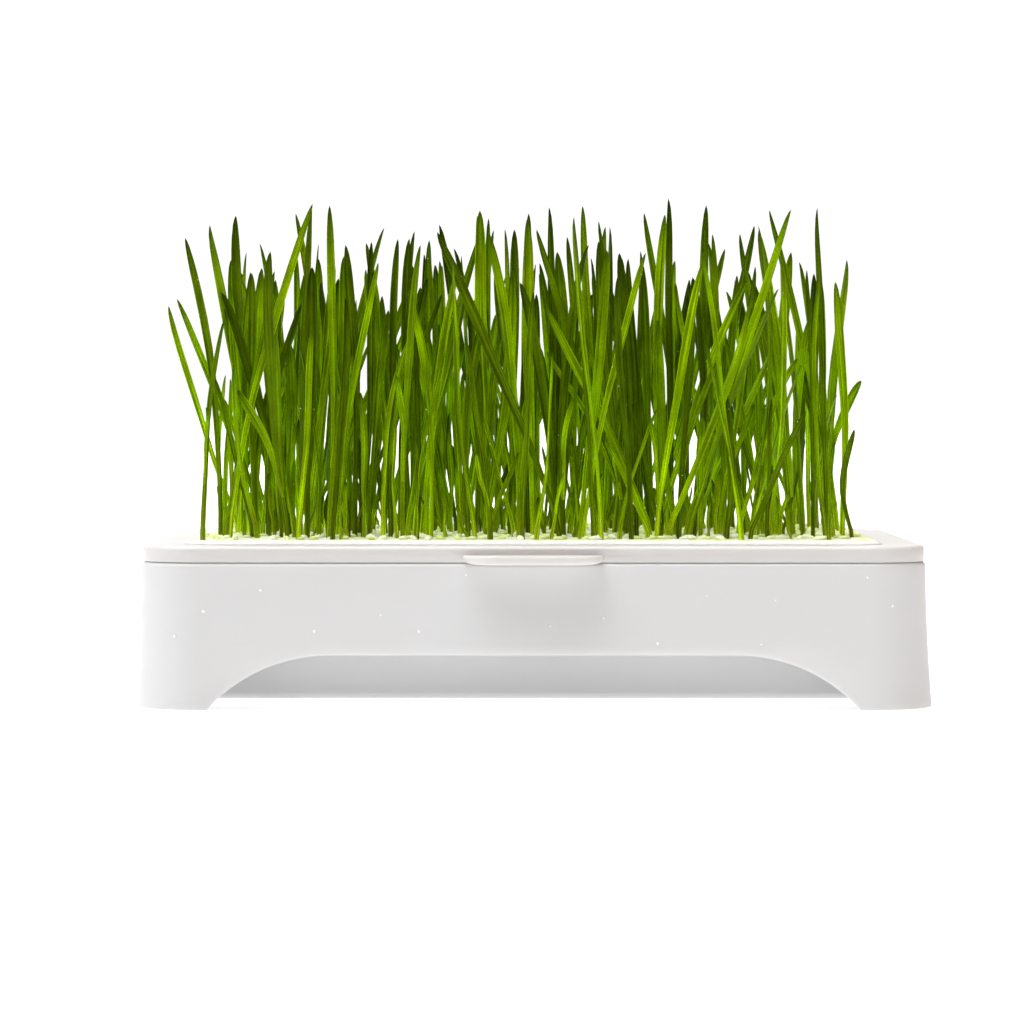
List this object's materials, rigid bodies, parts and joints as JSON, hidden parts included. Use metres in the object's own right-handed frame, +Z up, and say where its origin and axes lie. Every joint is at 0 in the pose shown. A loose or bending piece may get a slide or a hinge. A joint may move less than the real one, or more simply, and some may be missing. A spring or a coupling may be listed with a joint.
{
  "type": "wheatgrass tray",
  "caption": "White two-part sprouting tray with a finger arch in each long side, its slotted upper tray filled by a root mat from which tall wheatgrass shoots grow.",
  "frame": {"origin": "middle of the tray, on the surface that it stands on", "axes": "+X along the long side, -Y towards the front, +Z up"},
  "size_m": [0.3458, 0.284, 0.224],
  "materials": {
    "water_tray_plastic": "satin",
    "grow_tray_plastic": "satin",
    "wheatgrass": "satin"
  },
  "bodies": {
    "root": {"water_tray": "water_tray_plastic", "grow_tray": "grow_tray_plastic", "wheatgrass_sward": "wheatgrass"}
  },
  "joints": []
}
